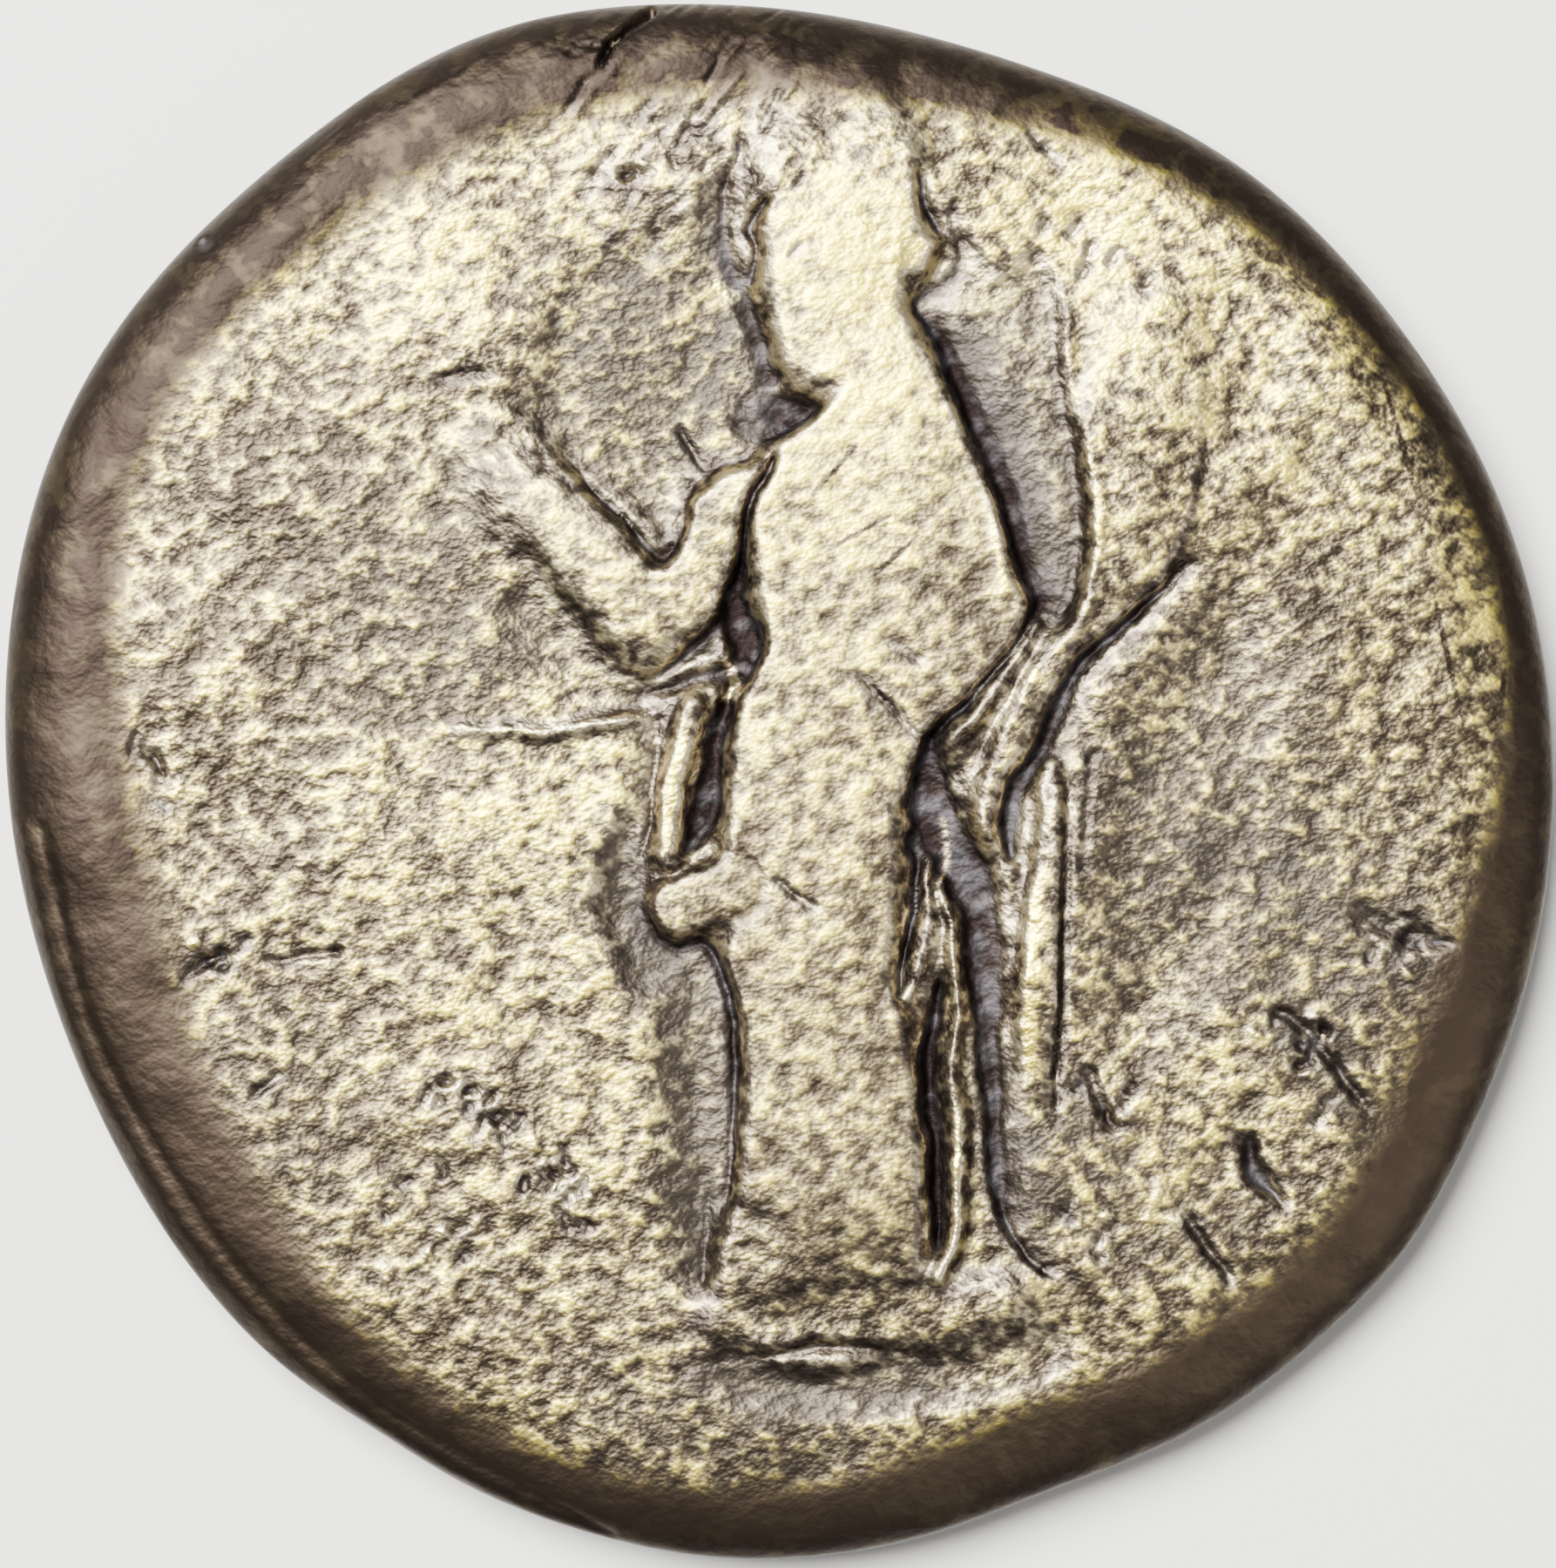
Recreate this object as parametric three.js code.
// A worn Roman silver denarius: one struck flan, lying on its obverse with its reverse up.
// Millimetres, +Z up, +Y towards the top of the reverse. The origin is under the middle of the
// flan, on the surface that the coin lies on.
//
// Both faces are height fields laid over the flan. Each relief is a list of strokes, as an engraver
// sinks them in a die: a stroke is a chain of [x, y, half width] stations, and it brings the
// surface to its own level inside that chain, with a slope at its edge. A fourth number at a
// station makes the level there a share of the full one. Later strokes go over earlier ones.

import * as THREE from "three";
import { mergeVertices } from "three/addons/utils/BufferGeometryUtils.js";

// ---- Driving dimensions ----
const FLAN_RADIUS = 8.8;
const REVERSE_FIELD = 1.46; // height of the reverse field at the middle
const OBVERSE_FIELD = 0.2; // height of the obverse field: the worn relief below it carries the coin
const GIRDLE = 0.84; // height of the widest line of the edge
const REVERSE_CROWN = 0.1; // how far the reverse field falls from the middle to its shoulder
const FACE_SHARE = 0.82; // share of the mesh rings that lie on a face, and not on its shoulder

// Where the hammered flan bulges or draws in: at an angle, over a spread, by a length.
const OUTLINE_LOBES = [
  { at: 38, spread: 14, by: -0.06 },
  { at: 72, spread: 16, by: -0.19 },
  { at: 112, spread: 16, by: 0.31 },
  { at: 148, spread: 24, by: 0.34 },
  { at: 203, spread: 21, by: -0.17 },
  { at: 238, spread: 7, by: -0.08 },
  { at: 265, spread: 11, by: 0.07 },
  { at: 291, spread: 10, by: -0.16 },
  { at: 323, spread: 8, by: 0.09 },
];
// How wide the rounded shoulder between a face and the girdle is, round the flan.
const SHOULDER = 1.2;
const SHOULDER_LOBES = [
  { at: 60, spread: 40, by: -0.25 },
  { at: 140, spread: 42, by: -0.4 },
  { at: 250, spread: 45, by: 0.5 },
  { at: 320, spread: 30, by: 0.25 },
];

// ---- Mesh density ----
const GRID = 128; // cells along a side of the square that is laid over each face
const RIM_STEP = 4; // every girdle vertex at this step is kept, so that the outline stays round
const REVERSE_ERROR = 0.013; // how far the mesh may stand off the true surface
const OBVERSE_ERROR = 0.033;
const SHOULDER_EASE = 0.4; // the smooth shoulder shows less of that than the relief does
const REVERSE_SLOPE = 0.34; // the narrowest slope that the mesh can follow without steps
const OBVERSE_SLOPE = 0.5;
const WELD = 1e-4; // vertices closer than this are one

const clamp01 = (x) => Math.min(1, Math.max(0, x));
const smooth = (x) => x * x * (3 - 2 * x);
const turn = (degrees) => (degrees * Math.PI) / 180;

// ---- Relief ----

// A stroke of the die. level is its height above the field, slope the width of its edge, and
// crown how much its middle line stands above its level.
const stroke = (level, slope, stations, crown = 0) => ({ level, slope, stations, crown });

// A patch of the die: the inside of a closed outline, brought to one level.
const patch = (level, slope, outline) => ({ level, slope, outline, crown: 0 });

// Signed distance to the edge of a patch, negative inside.
function reachPatch({ outline }, x, y) {
  let nearest = Infinity;
  let inside = false;
  outline.forEach(([ax, ay], i) => {
    const [bx, by] = outline[(i + 1) % outline.length];
    const t = clamp01(((x - ax) * (bx - ax) + (y - ay) * (by - ay)) / ((bx - ax) ** 2 + (by - ay) ** 2));
    nearest = Math.min(nearest, Math.hypot(x - ax - t * (bx - ax), y - ay - t * (by - ay)));
    if (ay > y !== by > y && x < ax + ((y - ay) * (bx - ax)) / (by - ay)) inside = !inside;
  });
  return { d: inside ? -nearest : nearest, half: 1, lift: 1 };
}

// Signed distance to a chain of round-ended stations, negative inside, with the half width and the
// share of the level there.
function reachStroke({ stations }, x, y) {
  let best = { d: Infinity, half: 1, lift: 1 };
  const last = Math.max(1, stations.length - 1);
  for (let i = 0; i < last; i++) {
    const [ax, ay, ah, al = 1] = stations[i];
    const [bx, by, bh, bl = 1] = stations[Math.min(i + 1, stations.length - 1)];
    const long = (bx - ax) ** 2 + (by - ay) ** 2;
    const t = long ? clamp01(((x - ax) * (bx - ax) + (y - ay) * (by - ay)) / long) : 0;
    const half = ah + t * (bh - ah);
    const d = Math.hypot(x - ax - t * (bx - ax), y - ay - t * (by - ay)) - half;
    if (d < best.d) best = { d, half, lift: al + t * (bl - al) };
  }
  return best;
}

// The height of a relief above its field, after every stroke has been laid in turn.
function reliefAt(strokes, narrowest, x, y) {
  let height = 0;
  for (const s of strokes) {
    const { d, half, lift } = s.outline ? reachPatch(s, x, y) : reachStroke(s, x, y);
    const cover = smooth(clamp01(0.5 - d / Math.max(s.slope, narrowest)));
    if (cover === 0) continue;
    const crown = s.crown * (1 - clamp01(1 + d / half) ** 2);
    height += cover * (s.level * lift + crown - height);
  }
  return height;
}

// A row of round stations along an arc, for borders and wreaths.
function arcStations(cx, cy, radius, from, to, count, half) {
  return Array.from({ length: count }, (_, i) => {
    const a = turn(from + ((to - from) * i) / (count - 1));
    return [cx + radius * Math.cos(a), cy + radius * Math.sin(a), half];
  });
}

const FIGURE = 0.19; // worn top of the standing figure
const CLOTH = 0.13; // worn top of the cloak and the horn, lower than the body
const DEEP = -0.2; // the narrow recesses that wear never reached
const DIP = -0.1; // the field where it sinks beside the figure

// The reverse: a standing figure to the left, one arm bent and held out, a horn of plenty on the
// other arm with the cloak hanging below it, on a ground line.
const FOREARM_FIELD = [
  [-2.92, 4.24],
  [-2.67, 5.13],
  [-2.13, 6.02],
  [-1.33, 6.37],
  [-0.59, 6.67],
  [-0.39, 5.92],
  [-0.44, 4.93],
  [-0.16, 4.53],
  [0.3, 4.32],
  [-0.14, 3.74],
  [-0.46, 3.64],
  [-0.94, 3.46],
  [-1.09, 2.95],
  [-1.29, 2.55],
  [-1.93, 3.12],
  [-2.52, 3.71],
];
const reverseStrokes = [
  // The field between the head, the shoulder and the forearm, then the field dished beside the figure.
  patch(DIP * 0.8, 0.5, FOREARM_FIELD),
  stroke(DIP * 0.6, 0.5, [[-2.9, 1.95, 0.2], [-2.1, 1.15, 0.28], [-1.6, 0.85, 0.18]]),
  stroke(DIP, 0.35, [[-1.75, -0.55, 0.1], [-1.8, -1.3, 0.24], [-1.5, -2.05, 0.28]]),
  stroke(
    DIP * 1.2,
    0.35,
    [
      [-1.1, -2.25, 0.45],
      [-1.1, -3.5, 0.4],
      [-1.05, -4.5, 0.36],
      [-0.95, -5.4, 0.18],
    ],
  ),
  stroke(DIP * 0.6, 0.4, [[-0.65, -6.8, 0.18], [0.55, -6.85, 0.25], [2.05, -6.75, 0.3], [2.95, -6.5, 0.3]]),
  stroke(DIP * 0.6, 0.9, [[5, 1.35, 0.6], [4.6, -0.6, 0.84], [4, -2.5, 0.55]]),
  // The head, worn into the border, with the knot of its hair.
  stroke(
    FIGURE * 0.85,
    0.4,
    [
      [0.6, 7.5, 0.8, 0.2],
      [0.65, 6.8, 0.97, 0.8],
      [0.7, 6.2, 0.97],
      [0.65, 5.4, 0.83],
      [0.9, 4.6, 0.9],
    ],
    0.02,
  ),
  stroke(FIGURE * 0.8, 0.12, [[1.65, 5.9, 0.24], [1.8, 5.95, 0.18]]),
  // The forearm held out to the left, the upper arm, and what the hand holds.
  stroke(
    FIGURE * 0.8,
    0.5,
    [
      [-3.25, 3.75, 0.34, 0.2],
      [-2.8, 3.25, 0.48, 0.8],
      [-2.3, 2.7, 0.53],
      [-1.55, 1.9, 0.6],
    ],
    0.03,
  ),
  stroke(FIGURE * 0.95, 0.15, [[-0.25, 3.35, 0.3], [-0.7, 2.95, 0.38], [-1, 2.15, 0.48]], 0.02),
  stroke(CLOTH, 0.12, [[-3.6, 0.6, 0.05], [-2.7, 0.5, 0.08], [-1.95, 0.65, 0.08], [-1.4, 0.75, 0.04]]),
  // The body: neck, chest, hips and the long robe down to the feet.
  stroke(
    FIGURE,
    0.3,
    [
      [1.08, 4.15, 0.91],
      [1.1, 3.7, 1.17],
      [1.1, 2.95, 1.46],
      [1.2, 2.35, 1.49],
      [1.3, 2.1, 1.58],
      [1.28, 1.5, 1.31],
      [0.87, 0.95, 1.25],
      [0.48, 0.4, 1.11],
      [0.37, -0.05, 1.01],
      [0.35, -0.55, 1.03],
      [0.4, -1.2, 0.97],
      [0.33, -2, 0.99],
      [0.4, -2.5, 0.92],
      [0.54, -3, 1],
      [0.58, -4, 1.05],
      [0.55, -5, 1.11, 0.9],
      [0.45, -5.5, 1.21, 0.6],
    ],
    0.02,
  ),
  // The hollow between the chest and the horn.
  stroke(
    DIP * 0.8,
    0.2,
    [
      [2.45, 5.9, 0.5, 0],
      [2.35, 5.4, 0.77],
      [2.55, 4.75, 0.65],
      [2.85, 3.7, 0.55],
      [3.05, 2.95, 0.48],
      [3.1, 2.35, 0.38],
      [3.1, 1.95, 0.22],
    ],
  ),
  // The fold of the robe on the left hip, ending in a round lobe.
  stroke(
    CLOTH,
    0.1,
    [
      [-1, 0.85, 0.13],
      [-1.1, 0.45, 0.15],
      [-1.23, -0.2, 0.16],
      [-1.25, -0.85, 0.17],
    ],
    0.02,
  ),
  stroke(FIGURE * 0.9, 0.14, [[-1.15, -1.4, 0.34], [-0.55, -1.2, 0.4]], 0.02),
  // The horn of plenty, wide at its mouth and drawn to a point beside the hip.
  stroke(
    CLOTH,
    0.32,
    [
      [4.15, 4.95, 0.69, 0.3],
      [4.1, 3.95, 0.71, 0.8],
      [4.1, 3.15, 0.62],
      [4, 2.55, 0.5],
      [3.7, 2.05, 0.34],
      [3.35, 1.6, 0.24],
      [2.95, 1.05, 0.22],
      [2.65, 0.45, 0.2],
      [2.4, -0.05, 0.17],
      [2.3, -0.55, 0.13],
      [2.35, -0.75, 0.08],
    ],
    0.03,
  ),
  // The cloak below the arm, and the ground that the figure stands on.
  stroke(
    CLOTH * 0.8,
    0.14,
    [
      [3.05, 0.15, 0.13],
      [3.05, -0.35, 0.16],
      [3, -1, 0.19],
      [2.95, -1.8, 0.23],
      [2.9, -2.5, 0.26],
      [2.9, -3.4, 0.2, 0.3],
    ],
    0.01,
  ),
  stroke(
    FIGURE * 0.6,
    0.2,
    [
      [-0.65, -6.05, 0.28],
      [0.55, -6.05, 0.36],
      [1.65, -6.05, 0.38],
      [2.55, -5.9, 0.28],
    ],
  ),
  // The deep recesses on the left: under the chin, beside the face, and round the bent arm.
  stroke(DEEP * 0.9, 0.1, [[-0.25, 4.05, 0.33, 0.4], [0.1, 4.15, 0.22, 0.9], [0.4, 4.25, 0.04]]),
  stroke(
    DIP * 1.3,
    0.1,
    [
      [-0.15, 4.6, 0.08],
      [-0.3, 5.1, 0.09],
      [-0.45, 5.5, 0.09],
      [-0.6, 5.9, 0.1],
      [-0.7, 6.4, 0.06],
      [-0.6, 6.85, 0.03],
    ],
  ),
  stroke(DIP * 1.4, 0.1, [[-2.5, 3.65, 0.02], [-1.9, 3.05, 0.06], [-1.4, 2.55, 0.09], [-1.25, 2.6, 0.08]]),
  stroke(
    DIP * 1.1,
    0.1,
    [
      [-1.25, 2.65, 0.06],
      [-1.05, 3.05, 0.05],
      [-0.95, 3.4, 0.05],
      [-0.4, 3.65, 0.08],
    ],
  ),
  stroke(
    DEEP,
    0.1,
    [
      [-0.1, 3.65, 0.02],
      [-0.32, 3.25, 0.03],
      [-0.38, 2.9, 0.03],
      [-0.44, 2.5, 0.08],
      [-0.5, 1.95, 0.17],
      [-0.38, 1.55, 0.22],
      [-0.55, 1.05, 0.11],
      [-0.6, 0.8, 0.1],
    ],
  ),
  stroke(DEEP * 0.8, 0.1, [[-0.7, 1.75, 0.12], [-1, 1.45, 0.08], [-1.55, 1.1, 0.03]]),
  stroke(
    DIP * 1.1,
    0.34,
    [
      [-2.9, 2.5, 0.02, 0.4],
      [-2.4, 1.8, 0.06],
      [-1.95, 1.25, 0.08],
      [-1.6, 1.05, 0.06],
    ],
  ),
  // The slit between the hip and its fold, and the line down the robe to the foot.
  stroke(
    DEEP,
    0.09,
    [
      [-0.6, 0.8, 0.09],
      [-0.75, 0.45, 0.11],
      [-0.8, -0.05, 0.14],
      [-0.88, -0.45, 0.17],
      [-1.1, -0.85, 0.01],
    ],
  ),
  stroke(
    DIP,
    0.1,
    [
      [-1.35, 0.7, 0.01],
      [-1.4, 0.25, 0.04],
      [-1.45, -0.35, 0.05],
      [-1.6, -0.95, 0.06],
      [-1.55, -1.3, 0.05],
    ],
  ),
  stroke(
    DEEP * 0.9,
    0.1,
    [
      [-1.5, -1.4, 0.02],
      [-1.4, -1.7, 0.05],
      [-1.15, -1.9, 0.06],
      [-0.8, -1.85, 0.07],
      [-0.6, -2.3, 0.07],
      [-0.55, -2.9, 0.06],
      [-0.5, -3.95, 0.02],
    ],
  ),
  // The line down the right side of the head and the chest, widening between the hip and the horn.
  stroke(DEEP * 0.7, 0.08, [[1.6, 6.9, 0.03], [1.65, 6.55, 0.07], [1.8, 6.25, 0.07]]),
  stroke(DEEP * 0.6, 0.08, [[1.95, 6.4, 0.02], [2.05, 6.05, 0.04], [2, 5.75, 0.06], [1.55, 5.45, 0.05]]),
  stroke(
    DEEP * 0.9,
    0.1,
    [
      [1.55, 5.4, 0.03],
      [1.85, 4.95, 0.09],
      [2.05, 4.45, 0.1],
      [2.25, 4, 0.11],
      [2.45, 3.5, 0.11],
      [2.65, 3, 0.11],
      [2.75, 2.45, 0.1],
      [2.9, 2.05, 0.08],
    ],
  ),
  stroke(
    DEEP * 0.9,
    0.08,
    [
      [2.9, 2.05, 0.07],
      [2.75, 1.65, 0.04],
      [2.3, 1.1, 0.04],
      [2, 0.8, 0.06],
      [1.7, 0.45, 0.09],
    ],
  ),
  stroke(
    DEEP,
    0.12,
    [
      [1.7, 0.4, 0.09],
      [1.7, -0.05, 0.28],
      [1.8, -0.5, 0.3],
      [1.95, -0.85, 0.36],
      [2.1, -1.1, 0.3],
    ],
  ),
  stroke(DEEP * 0.9, 0.1, [[1.5, -0.6, 0.08], [1.55, -1.1, 0.05], [1.5, -1.6, 0.05], [1.3, -2.45, 0.03]]),
  stroke(
    DEEP * 0.9,
    0.12,
    [
      [2.1, -1, 0.28],
      [2.3, -1.5, 0.28],
      [2.4, -2.2, 0.22],
      [2.4, -3, 0.14],
      [2.5, -4, 0.09],
      [2.55, -4.9, 0.06],
    ],
  ),
  // The edge of the horn, and the grooves beside the cloak.
  stroke(
    DEEP * 0.85,
    0.1,
    [
      [4.65, 2.45, 0.03],
      [4.45, 2.3, 0.05],
      [4.1, 1.95, 0.08],
      [3.75, 1.65, 0.08],
      [3.35, 1.2, 0.12],
      [3.15, 0.7, 0.12],
      [2.9, 0.2, 0.12],
      [2.65, -0.2, 0.14],
      [2.6, -0.55, 0.13],
      [2.65, -0.8, 0.09],
    ],
  ),
  stroke(
    DEEP,
    0.09,
    [
      [1.85, -2.2, 0.02],
      [1.75, -2.6, 0.08],
      [1.65, -3.3, 0.1],
      [1.75, -4, 0.1],
      [1.8, -4.6, 0.11],
      [1.8, -5.3, 0.08],
    ],
  ),
  // Two narrow folds that stand in that recess, the groove behind them, and the ground line.
  stroke(
    CLOTH * 0.6,
    0.08,
    [
      [1.65, -0.9, 0.04],
      [1.65, -1.4, 0.08],
      [1.6, -2, 0.08],
      [1.4, -2.55, 0.05],
    ],
    0.02,
  ),
  stroke(
    CLOTH * 1.2,
    0.1,
    [
      [1.8, -1.1, 0.03],
      [1.9, -1.8, 0.06],
      [2, -2.4, 0.07],
      [1.95, -3.4, 0.12],
      [2, -4.6, 0.12],
      [2, -5.2, 0.12],
      [1.75, -5.6, 0.11],
    ],
    0.02,
  ),
  stroke(
    DEEP * 0.8,
    0.09,
    [
      [2.05, -1.6, 0.04],
      [2.2, -2.65, 0.06],
      [2.3, -3.35, 0.06],
      [2.4, -4, 0.06],
      [2.45, -4.6, 0.06],
      [2.65, -5.2, 0.05],
      [2.95, -5.55, 0.02],
    ],
  ),
  stroke(
    DIP * 1.2,
    0.1,
    [
      [-1.05, -6.6, 0.02],
      [-0.45, -6.55, 0.03],
      [0.6, -6.45, 0.04],
      [1.5, -6.5, 0.03],
    ],
  ),
];

// The obverse, seen from its own side: a worn head to the right in a laurel wreath, inside the
// remains of a border. The highest parts are worn to one flat, and the coin rests on it.
const WORN = OBVERSE_FIELD;
const LINE = 0.09; // what a worn line leaves standing above the field
const WREATH = { leaves: 7, x: -0.45, y: 1.5, across: 2.35, up: 1.75, from: 172, to: 40 };
const LEAF = { long: 0.6, stem: 0.05, half: 0.12, lean: 30 };
const BORDER = { x: 0.1, y: -0.1, radius: 7.2, from: 15, to: 235, dots: 24, half: 0.28 };
const LEGEND = { angles: [203, 190, 177, 164, 151, 138, 46, 33, 20, 7, -6], inner: 5.3, outer: 6.15, half: 0.1 };

// The head in profile, from the throat round the face, the skull and the nape to the bust.
const PROFILE = [
  [0.95, -4.3],
  [0.9, -3.25],
  [1.7, -3.05],
  [2.4, -2.65],
  [2.55, -2.2],
  [2.3, -1.75],
  [2.55, -1.35],
  [2.42, -1.1],
  [2.65, -0.85],
  [2.55, -0.45],
  [3.2, -0.15],
  [2.8, 0.9],
  [2.55, 1.4],
  [2.72, 1.9],
  [2.6, 2.9],
  [2.0, 3.9],
  [0.5, 4.75],
  [-1.4, 4.7],
  [-3.1, 3.6],
  [-3.75, 1.7],
  [-3.35, -0.1],
  [-2.5, -1.5],
  [-2.35, -2.9],
  [-3.4, -4.7],
  [-2.3, -5.6],
  [-0.5, -5.75],
  [1.2, -5.3],
];

// Pairs of leaves along the band that ties the hair.
function wreathLeaves() {
  return Array.from({ length: WREATH.leaves }, (_, i) => {
    const a = turn(WREATH.from + ((WREATH.to - WREATH.from) * i) / (WREATH.leaves - 1));
    const [x, y] = [WREATH.x + WREATH.across * Math.cos(a), WREATH.y + WREATH.up * Math.sin(a)];
    return [-1, 1].map((side) => {
      const lean = a - Math.PI / 2 + side * turn(LEAF.lean);
      return stroke(LINE, 0.12, [
        [x, y, LEAF.stem],
        [x + LEAF.long * Math.cos(lean), y + LEAF.long * Math.sin(lean), LEAF.half],
      ]);
    });
  }).flat();
}

// The legend, as worn strokes of uneven length that are no letters.
function legendStrokes() {
  return LEGEND.angles.map((at, i) => {
    const a = turn(at);
    const [from, to] = [LEGEND.inner + 0.15 * (i % 3), LEGEND.outer - 0.12 * (i % 2)];
    return stroke(WORN * 0.6, 0.25, [
      [from * Math.cos(a), from * Math.sin(a), LEGEND.half],
      [to * Math.cos(a), to * Math.sin(a), LEGEND.half],
    ]);
  });
}

function borderStroke() {
  const { x, y, radius, from, to, dots, half } = BORDER;
  return stroke(WORN, 0.4, arcStations(x, y, radius, from, to, dots, half));
}

const obverseStrokes = [
  borderStroke(),
  ...legendStrokes(),
  patch(WORN, 0.4, PROFILE),
  ...wreathLeaves(),
  stroke(LINE, 0.12, arcStations(-0.6, 0.25, 0.42, -60, 230, 9, 0.05)), // ear
  stroke(LINE, 0.12, [[1.45, 1.12, 0.03], [1.8, 1.2, 0.08], [2.2, 1.02, 0.03]]), // eye
  stroke(LINE * 1.4, 0.2, [[0.7, -2.3, 0.05], [-0.5, -1.6, 0.09], [-0.9, -0.6, 0.05]]), // jaw line
  stroke(LINE * 1.4, 0.2, [[-2.5, -1.0, 0.03], [-1.8, -0.6, 0.08], [-1.4, 0.2, 0.03]]), // hair at the nape
  stroke(LINE * 1.4, 0.2, [[1.2, -4.5, 0.03], [-0.4, -4.9, 0.08], [-2.6, -4.75, 0.03]]), // edge of the bust
];

// ---- The flan ----

// The sum of round lobes at an angle in degrees.
function lobes(list, degrees) {
  let sum = 0;
  for (const { at, spread, by } of list) {
    const off = ((((degrees - at + 180) % 360) + 360) % 360) - 180;
    sum += by * Math.exp(-((off / spread) ** 2));
  }
  return sum;
}

const reverseHeight = (x, y) => {
  const fall = REVERSE_CROWN * ((x * x + y * y) / (FLAN_RADIUS * FLAN_RADIUS));
  return REVERSE_FIELD - fall + reliefAt(reverseStrokes, REVERSE_SLOPE, x, y);
};
const obverseHeight = (x, y) => OBVERSE_FIELD - reliefAt(obverseStrokes, OBVERSE_SLOPE, -x, y);

// The point of a face at grid place (i, j). Rings of the square become rings of the flan: the
// inner ones lie on the face, and the outer ones go round its shoulder to the girdle.
function pointAt(heightOf, i, j) {
  const [u, v] = [(2 * i) / GRID - 1, (2 * j) / GRID - 1];
  const ring = Math.max(Math.abs(u), Math.abs(v));
  if (ring === 0) return [0, 0, heightOf(0, 0)];
  let angle = Math.abs(u) >= Math.abs(v) ? (Math.PI / 4) * (v / u) : Math.PI / 2 - (Math.PI / 4) * (u / v);
  if (Math.abs(u) >= Math.abs(v) ? u < 0 : v < 0) angle += Math.PI;
  const degrees = (angle * 180) / Math.PI;
  const outline = FLAN_RADIUS + lobes(OUTLINE_LOBES, degrees);
  const shoulder = SHOULDER + lobes(SHOULDER_LOBES, degrees);
  const bend = (clamp01((ring - FACE_SHARE) / (1 - FACE_SHARE)) * Math.PI) / 2;
  const inner = Math.min(1, ring / FACE_SHARE) * (outline - shoulder);
  const radius = inner + shoulder * Math.sin(bend);
  const [x, y] = [radius * Math.cos(angle), radius * Math.sin(angle)];
  const onGirdle = ring === 1;
  return [x, y, onGirdle ? GIRDLE : GIRDLE + (heightOf(x, y) - GIRDLE) * Math.cos(bend)];
}

// ---- The mesh: right triangles, split only where the surface needs it ----

const SIDE = GRID + 1;
const index = (i, j) => j * SIDE + i;
const ringOf = (i, j) => Math.max(Math.abs((2 * i) / GRID - 1), Math.abs((2 * j) / GRID - 1));
const onRim = (i, j) => ringOf(i, j) === 1;
// The two halves of the square. A triangle is [ax, ay, bx, by, cx, cy], with its long edge a to b.
const HALVES = [
  [0, 0, GRID, GRID, GRID, 0],
  [GRID, GRID, 0, 0, 0, GRID],
];
const middle = ([ax, ay, bx, by]) => [(ax + bx) / 2, (ay + by) / 2];
const isWhole = ([ax, ay, , , cx, cy]) => Math.abs(ax - cx) + Math.abs(ay - cy) > 1;
function halves([ax, ay, bx, by, cx, cy]) {
  const [mx, my] = middle([ax, ay, bx, by]);
  return [
    [cx, cy, ax, ay, mx, my],
    [bx, by, cx, cy, mx, my],
  ];
}

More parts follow.
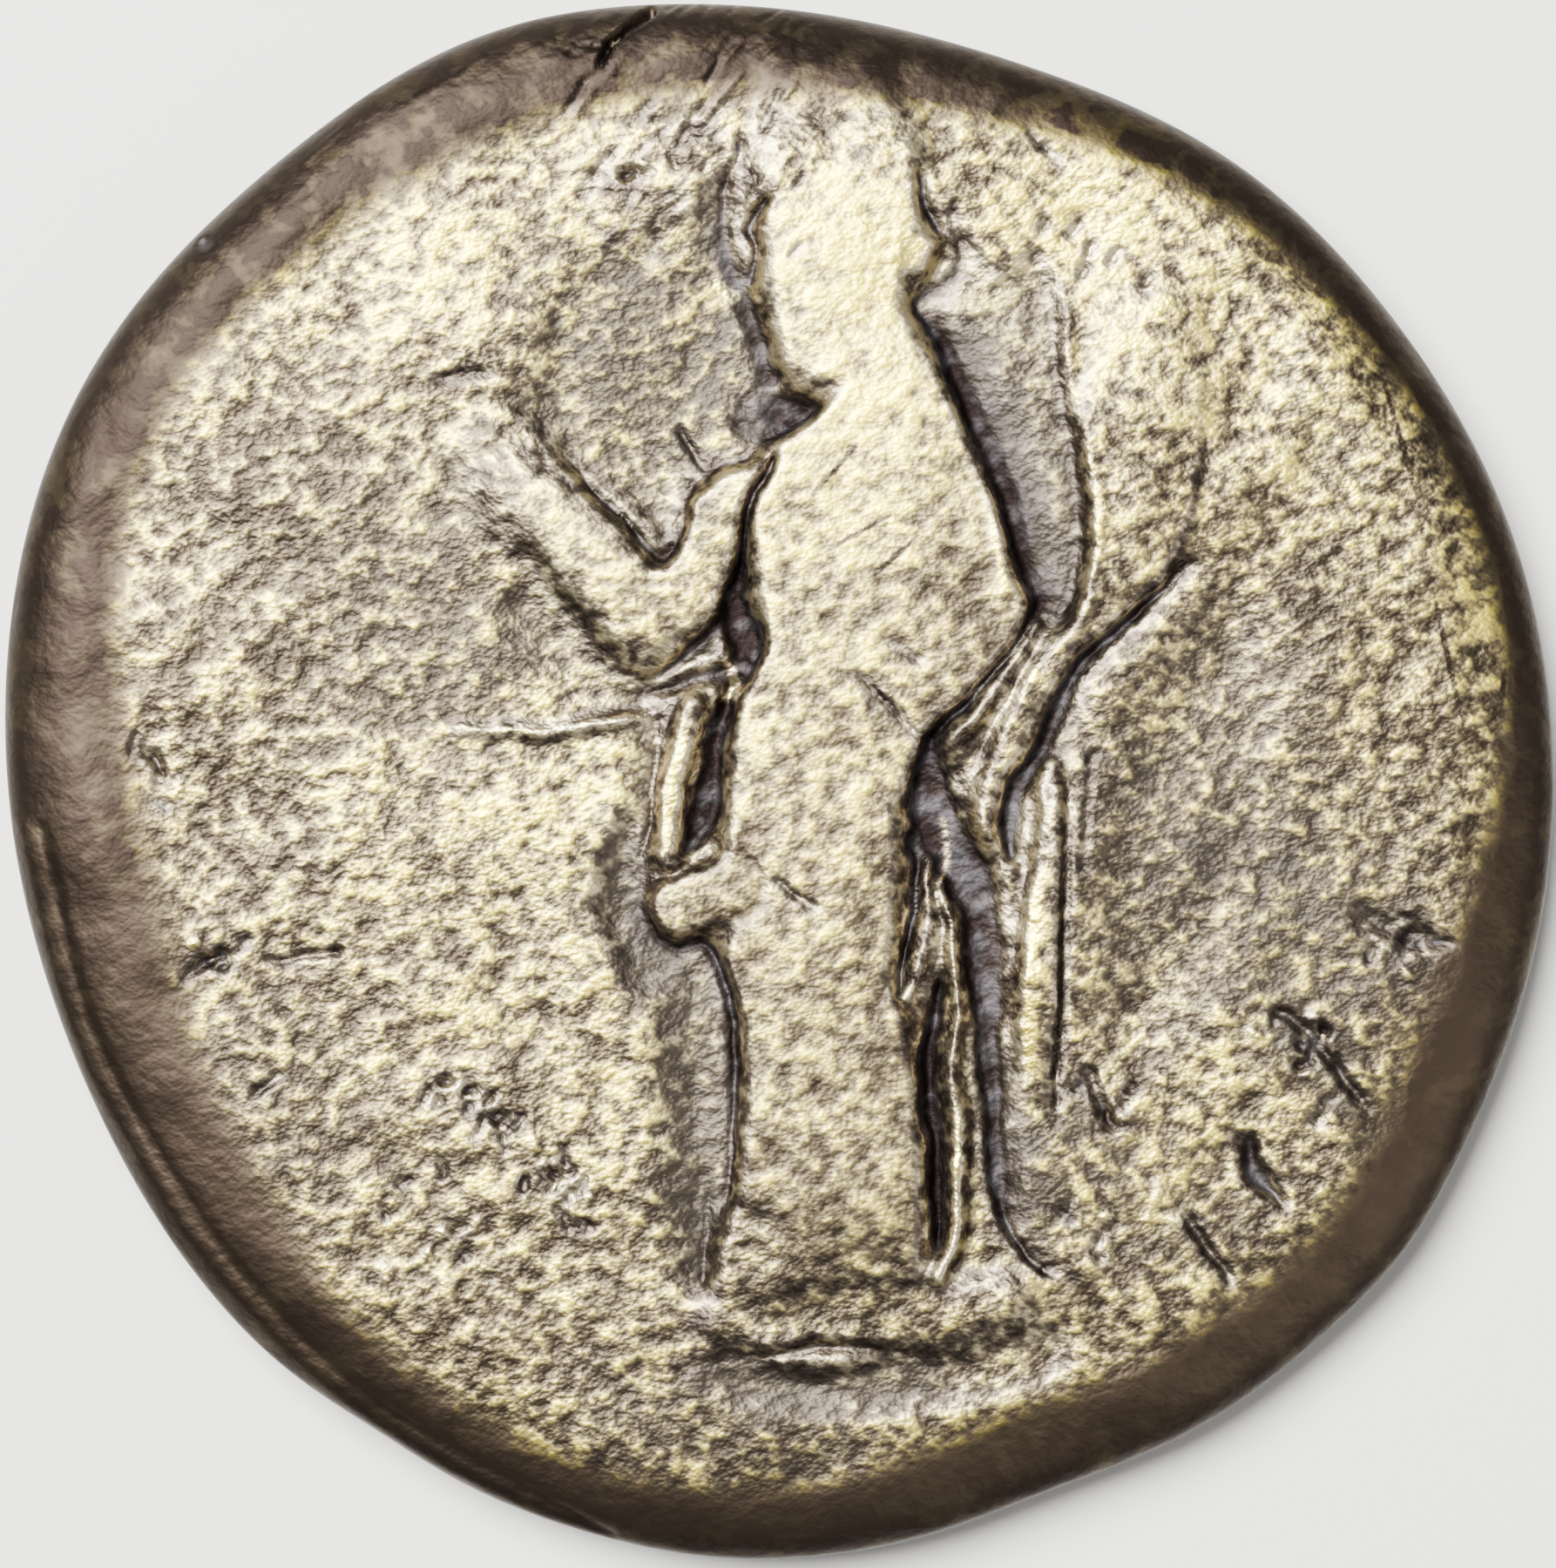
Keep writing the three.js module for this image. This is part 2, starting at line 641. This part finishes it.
// How far the surface would move if each grid vertex were left out. A vertex also takes the error
// of every vertex that hangs on it, so that no crack opens, and rim holds errors from the other face.
function errorsOf(points, rim) {
  const errors = new Float64Array(SIDE * SIDE);
  if (rim) rim.forEach((e, k) => (errors[k] = e));
  const at = (i, j) => new THREE.Vector3(...points[index(i, j)]);
  const normal = (i, j) => {
    const [i0, i1] = [Math.max(0, i - 1), Math.min(GRID, i + 1)];
    const [j0, j1] = [Math.max(0, j - 1), Math.min(GRID, j + 1)];
    const across = at(i1, j).sub(at(i0, j));
    return across.cross(at(i, j1).sub(at(i, j0))).normalize();
  };
  let level = HALVES;
  const levels = [];
  while (level.length) {
    levels.push(level);
    level = level.flatMap((t) => (isWhole(t) ? halves(t) : []));
  }
  for (const triangles of levels.slice(0, -1).reverse()) {
    for (const t of triangles) {
      const [mx, my] = middle(t);
      if (!Number.isInteger(mx) || !Number.isInteger(my)) continue;
      const chord = at(t[0], t[1]).add(at(t[2], t[3])).multiplyScalar(0.5);
      let error = Math.abs(at(mx, my).sub(chord).dot(normal(mx, my)));
      if (ringOf(mx, my) > FACE_SHARE) error *= SHOULDER_EASE;
      if (onRim(mx, my) && (mx + my) % RIM_STEP === 0) error = Infinity;
      for (const child of halves(t)) {
        const [cx, cy] = middle(child);
        if (Number.isInteger(cx) && Number.isInteger(cy)) error = Math.max(error, errors[index(cx, cy)]);
      }
      errors[index(mx, my)] = Math.max(errors[index(mx, my)], error);
    }
  }
  return errors;
}

const rimOf = (errors) => errors.map((e, k) => (onRim(k % SIDE, Math.floor(k / SIDE)) ? e : 0));

function trianglesOf(errors, limit) {
  const found = [];
  const visit = (t) => {
    const [mx, my] = middle(t);
    if (isWhole(t) && errors[index(mx, my)] > limit) halves(t).forEach(visit);
    else found.push(t);
  };
  HALVES.forEach(visit);
  return found;
}

const gridOf = (heightOf) =>
  Array.from({ length: SIDE * SIDE }, (_, k) => pointAt(heightOf, k % SIDE, Math.floor(k / SIDE)));

// The closed skin of the flan: both faces, joined along the girdle.
function flanGeometry() {
  const [top, under] = [gridOf(reverseHeight), gridOf(obverseHeight)];
  const share = REVERSE_ERROR / OBVERSE_ERROR;
  const scaled = (errors, by) => errors.map((e) => e * by);
  const underFirst = errorsOf(under);
  const topErrors = errorsOf(top, rimOf(scaled(underFirst, share)));
  const underErrors = errorsOf(under, rimOf(scaled(topErrors, 1 / share)));
  const positions = [];
  const place = (points, i, j) => positions.push(...points[index(i, j)]);
  for (const [ax, ay, bx, by, cx, cy] of trianglesOf(topErrors, REVERSE_ERROR)) {
    place(top, ax, ay);
    place(top, cx, cy);
    place(top, bx, by);
  }
  for (const [ax, ay, bx, by, cx, cy] of trianglesOf(underErrors, OBVERSE_ERROR)) {
    place(under, ax, ay);
    place(under, bx, by);
    place(under, cx, cy);
  }
  const geometry = new THREE.BufferGeometry();
  geometry.setAttribute("position", new THREE.Float32BufferAttribute(positions, 3));
  return mergeVertices(geometry, WELD);
}

const silver = new THREE.MeshStandardMaterial({ color: 0xc9bd9a, roughness: 0.42, metalness: 1 });

const coin = new THREE.Group();
const flan = new THREE.Mesh(flanGeometry(), silver);
flan.name = "struck_flan";
flan.geometry.computeBoundingBox();
const middleOfFlan = flan.geometry.boundingBox.getCenter(new THREE.Vector3());
flan.position.set(-middleOfFlan.x, -middleOfFlan.y, 0);
coin.add(flan);

export default coin;
